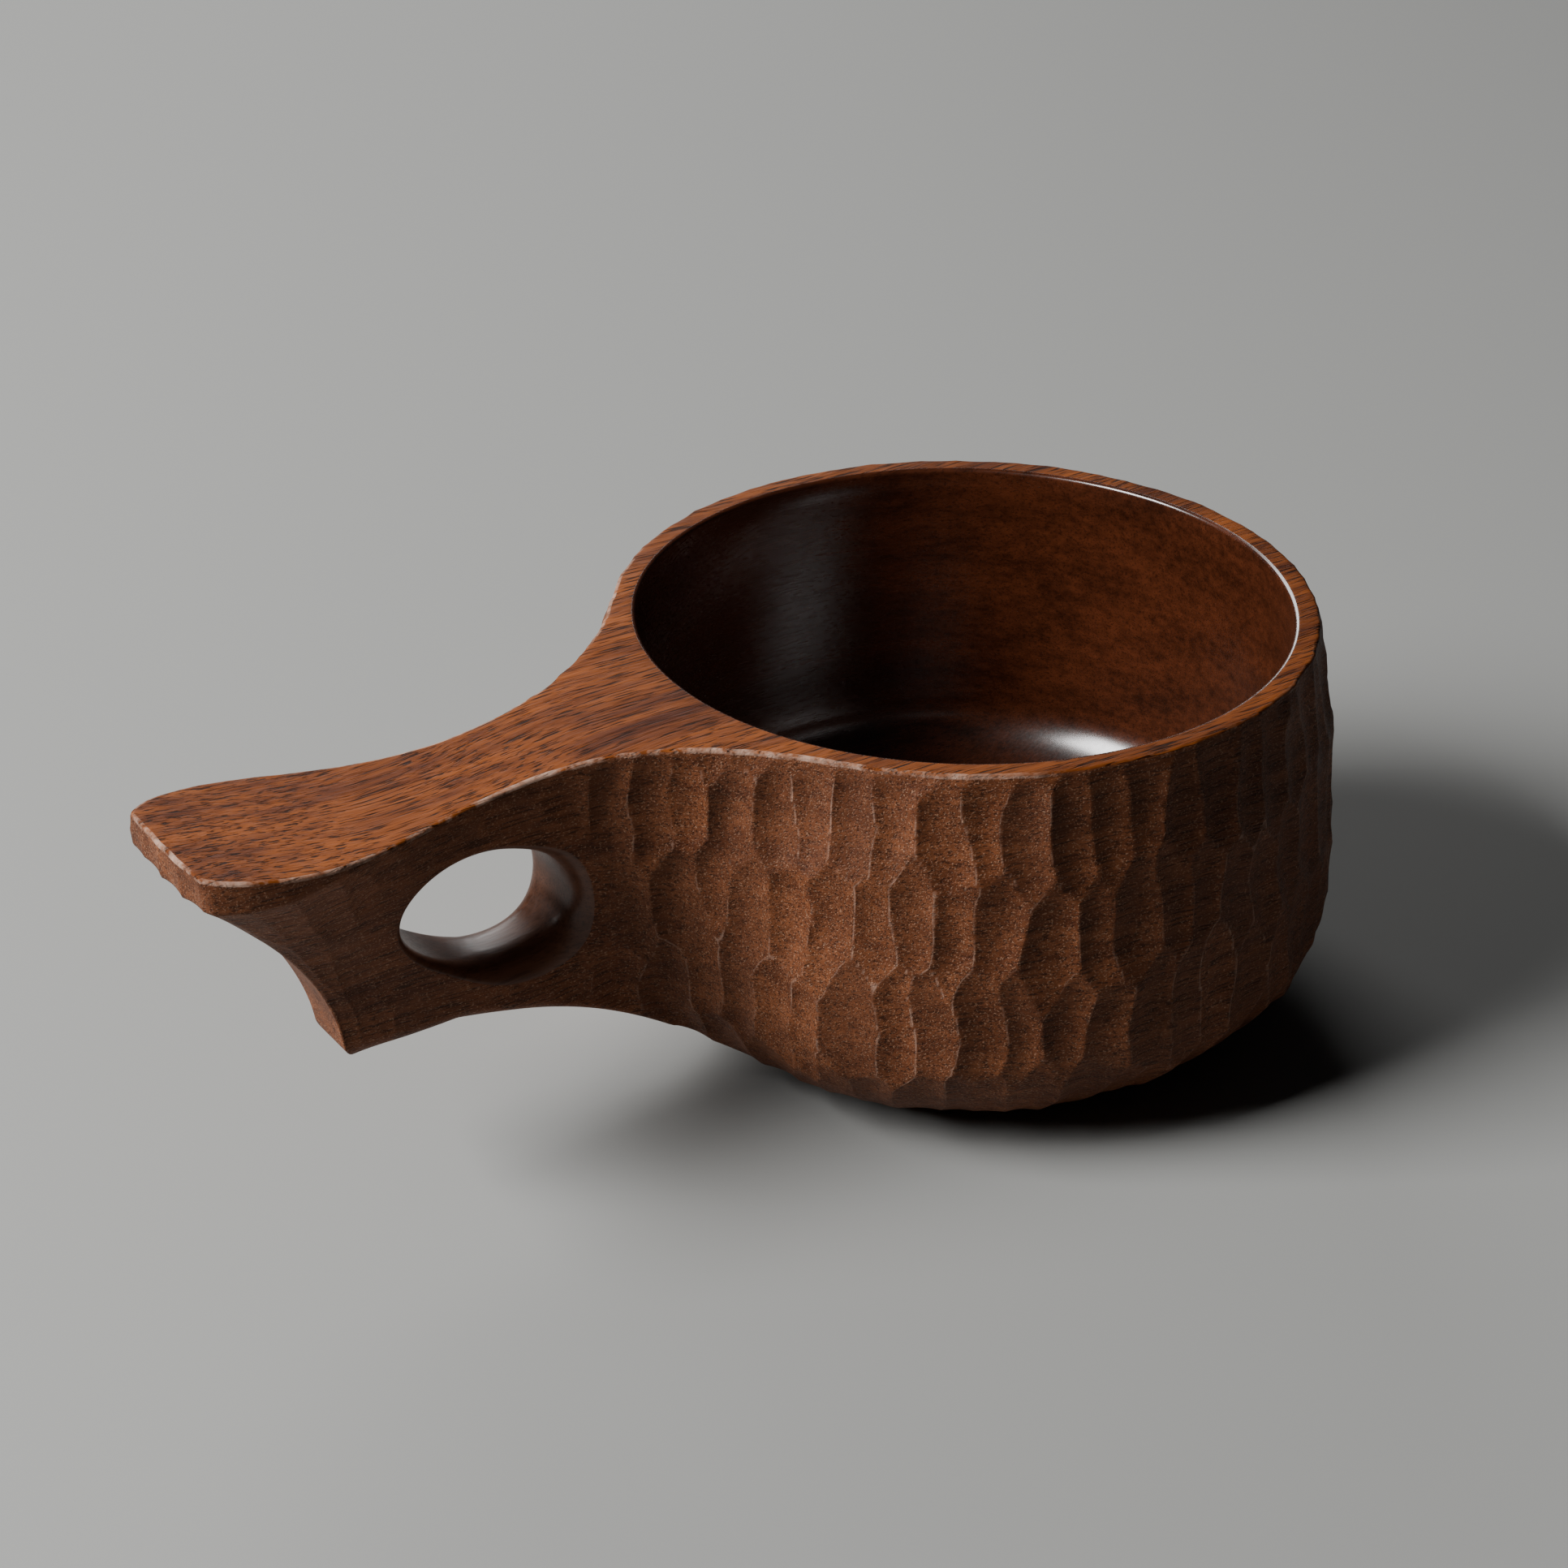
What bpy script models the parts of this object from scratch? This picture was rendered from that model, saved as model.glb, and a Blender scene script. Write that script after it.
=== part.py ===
"""Kuksa: a one-piece wooden cup with a flared thumb plate and a finger hole, carved from a single block.

Metres, +Z up. The origin is the centre of the foot, on the surface that the cup stands on, and the handle
points along -X. The bowl is a turned blank; the handle is a loft of upright ribs along the cup's length,
whose root spreads until it lies along the bowl's wall. The hollow and the finger hole are then cut out.
"""

import math

import bpy
import bmesh
from mathutils import Vector
from mathutils.geometry import interpolate_bezier

# Bowl
HEIGHT = 0.060
RIM_RADIUS = 0.0490
RIM_WALL = 0.0035
RIM_EASE = 0.0008
BELLY_RADIUS = 0.0526
BELLY_DROP = 0.0390
BELLY_WALL = 0.0052
FOOT_RADIUS = 0.0260
FLOOR_THICKNESS = 0.0065
FLOOR_RADIUS = 0.0180

# Handle, seen from above: distances are measured from the bowl's axis, widths are full widths
HANDLE_REACH = 0.1214
ROOT_ANGLE = math.radians(37)
WAIST_REACH = 0.0750
WAIST_WIDTH = 0.0164
FLARE_REACH = 0.1085
FLARE_WIDTH = 0.0282
END_WIDTH = 0.0198

# Handle, seen from the side: drops are measured down from the rim
THUMB_DISH_REACH = 0.0930
THUMB_DISH_DROP = 0.0028
END_DROP = 0.0002
END_THICKNESS = 0.0042
TAIL_REACH = 0.1005
TAIL_DROP = 0.0378
TAIL_ROUND = 0.0028
ARCH_REACH = 0.0840
ARCH_DROP = 0.0364

# Thickness of the web at its lower edge, and how the handle's edges are rounded
WEB_WIDTH = 0.0118
TAIL_WIDTH = 0.0086
TOP_EDGE_ROUND = 0.0006
LOWER_EDGE_ROUND = 0.0018

# Finger hole: an oval tunnel across the web, narrowest in the middle, with flared lips
HOLE_REACH = 0.0790
HOLE_DROP = 0.0200
HOLE_LENGTH = 0.0254
HOLE_HEIGHT = 0.0162
HOLE_TILT = math.radians(17)
HOLE_LIP = 0.0034
LIP_TURN = math.radians(55)
OUTER_FLARE = math.radians(20)

# How finely the round shapes are cut
BOWL_STEPS = 64
PROFILE_STEPS = 8
HOLE_STEPS = 40
LIP_STEPS = 5
RIB_LEVELS = 7

# How far a cutter runs out past the wood, and how deep the handle's root is sunk in the bowl's wall
CUT_CLEARANCE = 0.0100
ROOT_SINK = 0.0004


def start_empty():
    """Removes the scene's objects and makes one collection for the cup and one for its cutters."""
    for leftover in list(bpy.data.objects):
        bpy.data.objects.remove(leftover)
    collections = {}
    for name in ("kuksa", "cutters"):
        collections[name] = bpy.data.collections.new(name)
        bpy.context.scene.collection.children.link(collections[name])
    return collections


def mesh_object(name, mesh, collection):
    obj = bpy.data.objects.new(name, mesh)
    collection.objects.link(obj)
    return obj


def curve_points(knots, steps):
    """Points along cubic Bezier pieces. Each knot is (point, way in, way out); pieces join without a kink."""
    points = []
    for (start, _, leave), (end, arrive, _) in zip(knots, knots[1:]):
        piece = interpolate_bezier(
            Vector(start),
            Vector(start) + Vector(leave),
            Vector(end) - Vector(arrive),
            Vector(end),
            steps + 1,
        )
        points += piece[1:] if points else piece
    return points


def read_curve(points, reach):
    """The curve's height at a reach, where its points run steadily along the first axis."""
    if reach <= points[0][0]:
        return points[0][1]
    for before, after in zip(points, points[1:]):
        if reach <= after[0]:
            share = (reach - before[0]) / (after[0] - before[0])
            return before[1] + share * (after[1] - before[1])
    return points[-1][1]


# ---------------------------------------------------------------- bowl


def wall_radius(drop, rim, belly, foot, depth):
    """Radius of a bowl wall at a drop below the rim: it swells to the belly, then rounds in to the foot."""
    if drop <= BELLY_DROP:
        return belly - (belly - rim) * (1 - drop / BELLY_DROP) ** 2
    share = min(1.0, (drop - BELLY_DROP) / (depth - BELLY_DROP))
    return foot + (belly - foot) * math.sqrt(1 - share**2)


def outer_radius(drop):
    return wall_radius(drop, RIM_RADIUS, BELLY_RADIUS, FOOT_RADIUS, HEIGHT)


def wall_profile(rim, belly, foot, depth):
    """(radius, z) points down a bowl wall, closer together where it turns in to the foot."""
    points = []
    for i in range(PROFILE_STEPS // 2):
        drop = BELLY_DROP * i / (PROFILE_STEPS // 2)
        points.append((wall_radius(drop, rim, belly, foot, depth), HEIGHT - drop))
    for i in range(PROFILE_STEPS + 1):
        turn = math.pi / 2 * i / PROFILE_STEPS
        points.append(
            (
                foot + (belly - foot) * math.cos(turn),
                HEIGHT - BELLY_DROP - (depth - BELLY_DROP) * math.sin(turn),
            )
        )
    return points


def turned(name, profile, steps, collection):
    """A solid of revolution about Z, from a profile that runs down its outer side between two axis points."""
    mesh = bpy.data.meshes.new(name)
    mesh.from_pydata(
        [(radius, 0, z) for radius, z in profile],
        [(i, i + 1) for i in range(len(profile) - 1)],
        [],
    )
    obj = mesh_object(name, mesh, collection)
    screw = obj.modifiers.new("turn", "SCREW")
    screw.steps = steps
    screw.render_steps = steps
    screw.use_merge_vertices = True
    screw.merge_threshold = 0.00001
    return obj


def bowl_blank(collection):
    """The outside of the bowl, solid, with its rim slightly eased."""
    wall = wall_profile(RIM_RADIUS, BELLY_RADIUS, FOOT_RADIUS, HEIGHT)
    profile = [(0, HEIGHT), (RIM_RADIUS - RIM_EASE, HEIGHT)]
    profile += [(wall[0][0], HEIGHT - RIM_EASE)] + wall[1:] + [(0, 0)]
    return turned("cup_body", profile, BOWL_STEPS, collection)


def hollow_cutter(collection):
    """The space that the drink fills, running out past the rim."""
    inner_rim = RIM_RADIUS - RIM_WALL
    depth = HEIGHT - FLOOR_THICKNESS
    wall = wall_profile(inner_rim, BELLY_RADIUS - BELLY_WALL, FLOOR_RADIUS, depth)
    above = HEIGHT + CUT_CLEARANCE
    profile = [(0, above), (inner_rim + RIM_EASE, above), (inner_rim + RIM_EASE, HEIGHT)]
    profile += [(inner_rim, HEIGHT - RIM_EASE)] + wall[1:] + [(0, HEIGHT - depth)]
    return turned("hollow_cutter", profile, BOWL_STEPS, collection)


# ---------------------------------------------------------------- handle


def plate_outline():
    """Half width of the thumb plate against reach, from the waist to the end."""
    knots = [
        ((WAIST_REACH, WAIST_WIDTH / 2), (0, 0), (0.0140, 0)),
        ((FLARE_REACH, FLARE_WIDTH / 2), (0.0100, 0), (0.0060, 0)),
        ((HANDLE_REACH, END_WIDTH / 2), (0.0018, -0.0024), (0, 0)),
    ]
    return curve_points(knots, 12)


def root_outline(radius):
    """Half width of the handle's root against reach, from a bowl wall of that radius to the waist."""
    out = Vector((math.cos(ROOT_ANGLE), math.sin(ROOT_ANGLE)))
    along_wall = Vector((out.y, -out.x))
    knots = [
        ((radius - ROOT_SINK) * out, (0, 0), 0.0120 * along_wall),
        ((WAIST_REACH, WAIST_WIDTH / 2), (0.0170, 0), (0, 0)),
    ]
    return curve_points(knots, 16)


def thumb_line():
    """Drop of the top surface against reach: level by the bowl, dished for the thumb, up again at the end."""
    knots = [
        ((0, 0), (0, 0), (0.0170, 0)),
        ((RIM_RADIUS, 0), (0.0170, 0), (0.0190, 0)),
        ((THUMB_DISH_REACH, THUMB_DISH_DROP), (0.0170, 0), (0.0110, 0)),
        ((HANDLE_REACH, END_DROP), (0.0090, -0.0010), (0, 0)),
    ]
    return curve_points(knots, 10)


def belly_line():
    """Drop of the underside against reach: out of the bowl's round, along the arch, over the tail."""
    root = RIM_RADIUS * math.cos(ROOT_ANGLE)
    knots = [
        ((root, drop_under(root) - 4 * ROOT_SINK), (0, 0), (0.0109, -0.0048)),
        ((ARCH_REACH, ARCH_DROP), (0.0180, -0.0020), (0.0060, 0.0007)),
        ((TAIL_REACH - TAIL_ROUND, TAIL_DROP), (0.0050, 0.0006), (0.0018, 0)),
        ((TAIL_REACH, TAIL_DROP - TAIL_ROUND), (0.0002, -0.0018), (0, 0)),
    ]
    return curve_points(knots, 8)


def scoop_line():
    """Drop of the hollowed end below the thumb plate against reach, from the tail up to the plate's end."""
    knots = [
        ((TAIL_REACH, TAIL_DROP - TAIL_ROUND), (0, 0), (0.0026, -0.0115)),
        ((HANDLE_REACH, END_DROP + END_THICKNESS), (0.0119, -0.0099), (0, 0)),
    ]
    return curve_points(knots, 12)


def drop_under(reach):
    """Drop of the bowl's underside at a reach between the foot and the belly."""
    share = (reach - FOOT_RADIUS) / (BELLY_RADIUS - FOOT_RADIUS)
    return BELLY_DROP + (HEIGHT - BELLY_DROP) * math.sqrt(1 - share**2)


def lower_edge():
    """Half width of the web's lower edge against reach: least at the tail, then out to the end."""
    return [
        (RIM_RADIUS, 0.90 * WEB_WIDTH),
        (WAIST_REACH, 0.56 * WEB_WIDTH),
        (ARCH_REACH, 0.50 * WEB_WIDTH),
        (TAIL_REACH, 0.50 * TAIL_WIDTH),
        (0.5 * (TAIL_REACH + FLARE_REACH), 0.50 * TAIL_WIDTH + 0.0006),
        (FLARE_REACH, 0.5 * TAIL_WIDTH + 0.25 * (END_WIDTH - TAIL_WIDTH)),
        (HANDLE_REACH, END_WIDTH / 2 - TOP_EDGE_ROUND),
    ]


def flank(reach, drop, share, lines):
    """Half width at a share of the handle's depth: bulging at the root, swept in under the plate."""
    low = read_curve(lines["lower_edge"], reach)
    if reach < WAIST_REACH:
        high = read_curve(root_outline(outer_radius(drop)), reach)
        fullness = 2 + 5 * min(1.0, (WAIST_REACH - reach) / (WAIST_REACH - RIM_RADIUS))
        return low + (high - low) * (1 - share**fullness)
    high = read_curve(lines["plate"], reach)
    sweep = min(1.0, (reach - WAIST_REACH) / (FLARE_REACH - WAIST_REACH))
    return low + (high - low) * ((1 - sweep) * (1 - share**2) + sweep * (1 - share) ** 1.7)


def rib(reach, lines):
    """One upright rib of the handle's front half: (y, z) points from the top's middle to below."""
    top = read_curve(lines["thumb"], reach)
    bottom = read_curve(lines["scoop" if reach > TAIL_REACH else "belly"], reach)
    edge = min(LOWER_EDGE_ROUND, 0.3 * (bottom - top))
    points = [(0, top), (flank(reach, top, 0, lines) - TOP_EDGE_ROUND, top)]
    for level in range(RIB_LEVELS):
        share = level / (RIB_LEVELS - 1)
        drop = top + TOP_EDGE_ROUND + share * (bottom - edge - TOP_EDGE_ROUND - top)
        points.append((flank(reach, drop, share, lines), drop))
    low = points[-1][0]
    points += [(low - 0.3 * edge, bottom - 0.3 * edge), (low - edge, bottom), (0, bottom)]
    return [(y, HEIGHT - drop) for y, drop in points]


def rib_reaches():
    """Where the ribs stand: closer together at the tail's steep tip and at the plate's rounded corners."""
    spans = [
        (RIM_RADIUS * math.cos(ROOT_ANGLE), WAIST_REACH, 16),
        (WAIST_REACH, TAIL_REACH - TAIL_ROUND, 8),
        (TAIL_REACH - TAIL_ROUND, TAIL_REACH, 4),
        (TAIL_REACH, TAIL_REACH + TAIL_ROUND, 4),
        (TAIL_REACH + TAIL_ROUND, HANDLE_REACH, 10),
    ]
    reaches = [spans[0][0]]
    for start, end, count in spans:
        reaches += [start + (end - start) * (i + 1) / count for i in range(count)]
    return reaches


def handle_blank(collection):
    """The handle's loft: a front half that is open at the middle plane, mirrored to the back."""
    lines = {
        "plate": plate_outline(),
        "thumb": thumb_line(),
        "belly": belly_line(),
        "scoop": scoop_line(),
        "lower_edge": lower_edge(),
    }
    mesh = bmesh.new()
    rows = []
    for reach in rib_reaches():
        rows.append([mesh.verts.new((-reach, -y, z)) for y, z in rib(reach, lines)])
    for before, after in zip(rows, rows[1:]):
        for i in range(len(before) - 1):
            mesh.faces.new((before[i], before[i + 1], after[i + 1], after[i]))
    mesh.faces.new(reversed(rows[0]))
    mesh.faces.new(rows[-1])
    data = bpy.data.meshes.new("handle_blank")
    mesh.to_mesh(data)
    mesh.free()
    obj = mesh_object("handle_blank", data, collection)
    mirror = obj.modifiers.new("other_half", "MIRROR")
    mirror.use_axis = (False, True, False)
    mirror.merge_threshold = 0.00001
    return obj


def finger_hole_cutter(collection):
    """A tunnel along Y: a turned trumpet at both ends, stretched to an oval and tilted."""
    half_web = WAIST_WIDTH / 2
    throat = HOLE_HEIGHT / 2
    reach_out = half_web + CUT_CLEARANCE
    side = []
    for i in range(LIP_STEPS + 1):
        turn = LIP_TURN * i / LIP_STEPS
        side.append((throat + HOLE_LIP * (1 - math.cos(turn)), half_web - HOLE_LIP * (1 - math.sin(turn))))
    side.append((side[-1][0] + (reach_out - side[-1][1]) * math.tan(OUTER_FLARE), reach_out))
    profile = [(0, reach_out)] + list(reversed(side)) + [(r, -z) for r, z in side] + [(0, -reach_out)]
    cutter = turned("finger_hole_cutter", profile, HOLE_STEPS, collection)
    cutter.location = (-HOLE_REACH, 0, HEIGHT - HOLE_DROP)
    cutter.rotation_euler = (math.pi / 2, HOLE_TILT, 0)
    cutter.scale = (HOLE_LENGTH / HOLE_HEIGHT, 1, 1)
    return cutter


# ---------------------------------------------------------------- cup


def walnut():
    material = bpy.data.materials.new("walnut")
    material.use_nodes = True
    shader = material.node_tree.nodes["Principled BSDF"]
    shader.inputs["Base Color"].default_value = (0.13, 0.055, 0.028, 1)
    shader.inputs["Roughness"].default_value = 0.45
    return material


def carve(cup, operation, other):
    """Joins another solid to the cup, or cuts it away."""
    other.hide_render = True
    other.display_type = "WIRE"
    boolean = cup.modifiers.new(other.name, "BOOLEAN")
    boolean.operation = operation
    boolean.solver = "EXACT"
    boolean.object = other


def build():
    collections = start_empty()
    cup = bowl_blank(collections["kuksa"])
    cup.data.materials.append(walnut())
    cutters = collections["cutters"]
    carve(cup, "UNION", handle_blank(cutters))
    carve(cup, "DIFFERENCE", hollow_cutter(cutters))
    carve(cup, "DIFFERENCE", finger_hole_cutter(cutters))
    smooth = cup.modifiers["turn"]
    smooth.use_smooth_shade = True


build()
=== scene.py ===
"""Kuksa: a one-piece walnut drinking cup, knife-carved outside, turned smooth inside, on a studio floor."""

import math

import bmesh
import bpy
import numpy as np
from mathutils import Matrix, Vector


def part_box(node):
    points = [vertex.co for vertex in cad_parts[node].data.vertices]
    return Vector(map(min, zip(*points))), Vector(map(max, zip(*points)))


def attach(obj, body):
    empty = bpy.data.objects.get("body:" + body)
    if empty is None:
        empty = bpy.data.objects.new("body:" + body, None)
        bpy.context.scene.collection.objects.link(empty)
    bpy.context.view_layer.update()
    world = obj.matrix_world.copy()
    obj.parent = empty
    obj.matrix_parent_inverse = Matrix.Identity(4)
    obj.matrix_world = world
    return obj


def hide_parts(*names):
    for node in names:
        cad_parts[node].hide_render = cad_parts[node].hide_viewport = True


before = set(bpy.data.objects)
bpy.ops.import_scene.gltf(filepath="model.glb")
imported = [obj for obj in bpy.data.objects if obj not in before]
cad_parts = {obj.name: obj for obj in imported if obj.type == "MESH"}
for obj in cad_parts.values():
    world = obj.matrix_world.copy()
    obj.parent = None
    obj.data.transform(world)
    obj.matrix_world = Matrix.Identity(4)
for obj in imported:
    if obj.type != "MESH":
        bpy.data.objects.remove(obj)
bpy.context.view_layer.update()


# ---- The block: the cup's outside ----------------------------------------------------------------
# Bowl, thumb plate, web and tail are one piece of straight-grained walnut, with the grain along the
# handle. The outside is sawn and carved to shape first. It is a closed skin of upright strips: each
# starts on the top edge, runs down the flank, and turns in under the cup to the middle line.
# "Reach" is a distance from the bowl's axis towards the handle, "half" a half width, "drop" a depth
# below the rim.

block_low, block_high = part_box("cup_body")
HEIGHT = block_high.z
HANDLE_REACH = -block_low.x
BELLY_RADIUS = block_high.x
RIM_RADIUS = 0.0490
FOOT_RADIUS = 0.0260
BELLY_DROP = 0.0390
ROOT_ANGLE = math.radians(37)
WAIST = (0.0750, 0.0082)
FLARE = (0.1085, 0.0141)
CORNER = (HANDLE_REACH - 0.0005, 0.0100)
LOWER_WAIST_HALF = 0.0056
TAIL = (0.1003, 0.0041)
TAIL_DROP = 0.0378
END_THICKNESS = 0.0042
TOP_EDGE_EASE = 0.0005
LOWER_EDGE_ROUND = 0.0020
TAIL_ROUND = 0.0028
TAIL_FAN = 0.0030
TAIL_FAN_START = 0.086

STRIP_SPACING = 0.00062
FLANK_ROWS = 96
ROUND_EDGE_ROWS = 9
UNDER_ROWS = 5


def bezier(start, leave, arrive, end, share):
    """Points along one cubic curve, which leaves and arrives in the given directions."""
    start, leave, arrive, end = (np.array(p, float) for p in (start, leave, arrive, end))
    s = np.asarray(share, float)[:, None]
    return (
        (1 - s) ** 3 * start
        + 3 * s * (1 - s) ** 2 * (start + leave)
        + 3 * s**2 * (1 - s) * (end - arrive)
        + s**3 * end
    )


def ease(x):
    x = np.clip(x, 0, 1)
    return x * x * (3 - 2 * x)


def height_line(pieces):
    """A drop-against-reach curve from cubic pieces, as a function."""
    points = np.concatenate([bezier(*piece, np.linspace(0, 1, 60)) for piece in pieces])
    return lambda reach: np.interp(reach, points[:, 0], points[:, 1])


thumb_drop = height_line(
    [
        ((0.049, 0), (0.019, 0), (0.017, 0), (0.093, 0.0028)),
        ((0.093, 0.0028), (0.011, 0), (0.009, -0.001), (HANDLE_REACH, 0.0002)),
    ]
)
under_drop = height_line(
    [
        ((FOOT_RADIUS, HEIGHT), (0.018, 0), (0.032, -0.0036), (0.084, 0.0364)),
        ((0.084, 0.0364), (0.006, 0.0007), (0.005, 0.0006), (TAIL[0], TAIL_DROP)),
    ]
)


def outline():
    """Strips along one half of the cup's outline, from the far side of the bowl to the end of the handle.

    Columns: top edge (reach, half), lower edge (reach, half), where the strip ends on the middle line
    below, how much of the bowl's round it has, how far its flank sweeps in, its upright edge's height,
    where the strip would end on the middle line above. The last column is the length along the outline.
    """
    out = np.array([math.cos(ROOT_ANGLE), math.sin(ROOT_ANGLE)])
    along_wall = np.array([out[1], -out[0]])
    share = np.linspace(0, 1, 400)
    none, full = np.zeros(400), np.ones(400)

    turn = np.linspace(math.pi, ROOT_ANGLE, 400)
    ring = np.stack([np.cos(turn), np.sin(turn)], 1)
    bowl = np.column_stack([RIM_RADIUS * ring, FOOT_RADIUS * ring, none, full, full, none, none])

    top = bezier(RIM_RADIUS * out, 0.012 * along_wall, (0.017, 0), WAIST, share)
    waist_below = (WAIST[0], LOWER_WAIST_HALF)
    below = bezier(FOOT_RADIUS * out, 0.012 * along_wall, (0.018, 0), waist_below, share)
    middle = below[:, 0] - below[:, 1] * (1 - share) / math.tan(ROOT_ANGLE)
    root = np.column_stack([top, below, middle, 1 - ease(share), full, none, WAIST[0] * share**0.85])

    side = [(WAIST, (0.014, 0), (0.010, 0), FLARE), (FLARE, (0.006, 0), (0.0018, -0.0024), CORNER)]
    top = np.concatenate([bezier(*piece, share[::2]) for piece in side])
    run = top[:, 0] - WAIST[0]
    run_end, tail_run = CORNER[0] - WAIST[0], TAIL[0] - WAIST[0]
    lower_reach = WAIST[0] + run - (run_end - tail_run) * (run / run_end) ** 2
    thinning = ease((lower_reach - WAIST[0]) / tail_run)
    lower_half = LOWER_WAIST_HALF + (TAIL[1] - LOWER_WAIST_HALF) * thinning
    middle = lower_reach - TAIL_ROUND * ease((lower_reach - 0.090) / (TAIL[0] - 0.090))
    sweep = 1 + 0.85 * ease(run / (FLARE[0] - WAIST[0]))
    edge_height = END_THICKNESS * ease((top[:, 0] - 0.096) / (CORNER[0] - 0.096))
    above = top[:, 0] - 0.012 * ease((top[:, 0] - 0.085) / (CORNER[0] - 0.085))
    plate = np.column_stack([top, lower_reach, lower_half, middle, 0 * run, sweep, edge_height, above])

    half = CORNER[1] * (1 - share)
    reach = HANDLE_REACH - (HANDLE_REACH - CORNER[0]) * (1 - share) ** 2
    tail_half = TAIL[1] * (1 - share)
    as_at_corner = [value * full for value in plate[-1, 4:]]
    end = np.column_stack([reach, half, TAIL[0] * full, tail_half] + as_at_corner)

    strips = np.concatenate([bowl, root[1:], plate[1:], end[1:]])
    steps = np.hypot(*np.diff(strips[:, :2], axis=0).T)
    length = np.concatenate([[0], np.cumsum(steps)])
    count = round(length[-1] / STRIP_SPACING)
    even = np.linspace(0, length[-1], count)
    return np.column_stack([np.interp(even, length, column) for column in strips.T] + [even])


def flank(strips):
    """(strip, row) arrays of reach, half and drop down the flank, from the top edge to the lower edge."""
    above_round = 1 - TAIL_ROUND / TAIL_DROP
    turn = np.linspace(0, math.pi / 2, ROUND_EDGE_ROWS + 1)
    v = np.linspace(0, above_round, FLANK_ROWS - ROUND_EDGE_ROWS + 1)[:-1]
    v = np.concatenate([v, above_round + (1 - above_round) * np.sin(turn)])
    upper = v <= 0.5
    swing = np.clip(2 * v - 1, 0, 1) * math.pi / 2
    bowl_drop = np.where(upper, BELLY_DROP * 2 * v, BELLY_DROP + (HEIGHT - BELLY_DROP) * np.sin(swing))
    bowl_depth = bowl_drop / HEIGHT
    bulge = np.where(upper, 1 - (1 - 2 * v) ** 2, 1)
    tuck = 1 - np.cos(swing)

    edge, lower = strips[:, 0:2], strips[:, 2:4]
    roundness, sweep, edge_height = (strips[:, i, None] for i in (5, 6, 7))
    distance = np.hypot(*(edge - lower).T)[:, None]
    outward = (edge - lower) / distance
    top_drop = thumb_drop(edge[:, 0])[:, None] + TOP_EDGE_EASE
    ends_at = np.where(roundness > 0, lower[:, 0, None], strips[:, 4, None])
    depth = under_drop(ends_at) - top_drop

    share = roundness * bowl_depth + (1 - roundness) * v
    swept = np.clip((v * depth - edge_height) / (depth - edge_height), 0, 1)
    inward = roundness * tuck + (1 - roundness) * (1 - (1 - swept) ** sweep)
    belly = roundness * (BELLY_RADIUS - RIM_RADIUS)
    side_round = LOWER_EDGE_ROUND * np.minimum(1, lower[:, 1, None] / TAIL[1]) * (1 - roundness)
    end_round = lower[:, 0, None] - ends_at
    rounding = side_round + (1 - side_round / TAIL_ROUND) * end_round
    into_round = np.clip(1 - (1 - share) * depth / np.maximum(rounding, 1e-6), 0, 1)
    rolled = 1 - np.sqrt(1 - into_round**2)
    on_root = roundness > 0
    offset = belly * bulge - (distance + belly) * inward
    reach_round = np.where(on_root, outward[:, 0, None] * side_round, end_round)
    half_round = np.where(on_root, outward[:, 1, None] * side_round, side_round)
    reach = edge[:, 0, None] + outward[:, 0, None] * offset - reach_round * rolled
    half = edge[:, 1, None] + outward[:, 1, None] * offset - half_round * rolled
    return reach, half, top_drop + share * depth


def under(strips, reach, half, drop):
    """Rows from the flank's lower edge in to the middle line.

    Under the bowl they meet at the foot's centre, and at the tail's end they fan in to one point.
    """
    share = np.linspace(0, 1, UNDER_ROWS + 1)[1:]
    middle = strips[:, 4, None]
    fan_end = TAIL[0] - TAIL_ROUND
    middle = middle - TAIL_FAN * ease((middle - TAIL_FAN_START) / (fan_end - TAIL_FAN_START))
    rows_reach = reach[:, -1:] + (middle - reach[:, -1:]) * share
    rows_half = half[:, -1:] * (1 - share)
    rows_drop = drop[:, -1:] + (under_drop(middle) - drop[:, -1:]) * share
    return np.stack([rows_reach, rows_half, rows_drop], 2)


# The top is planed flat across and dished a little lengthwise for the thumb. Its rows run from the
# eased top edge in to the bowl's mouth or, on the handle, to the middle line.

MOUTH_RADIUS = 0.0455
MOUTH_EASE = 0.0006
TOP_ROWS = 5
EASE_ROWS = 3
CUT_MARGIN = 0.0012


def mouth_strip(strips):
    """The strip that meets the mouth exactly on the middle line. Those before it all end on the mouth."""
    return int(np.argmin(np.abs(strips[:, 8] - MOUTH_RADIUS)))


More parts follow.
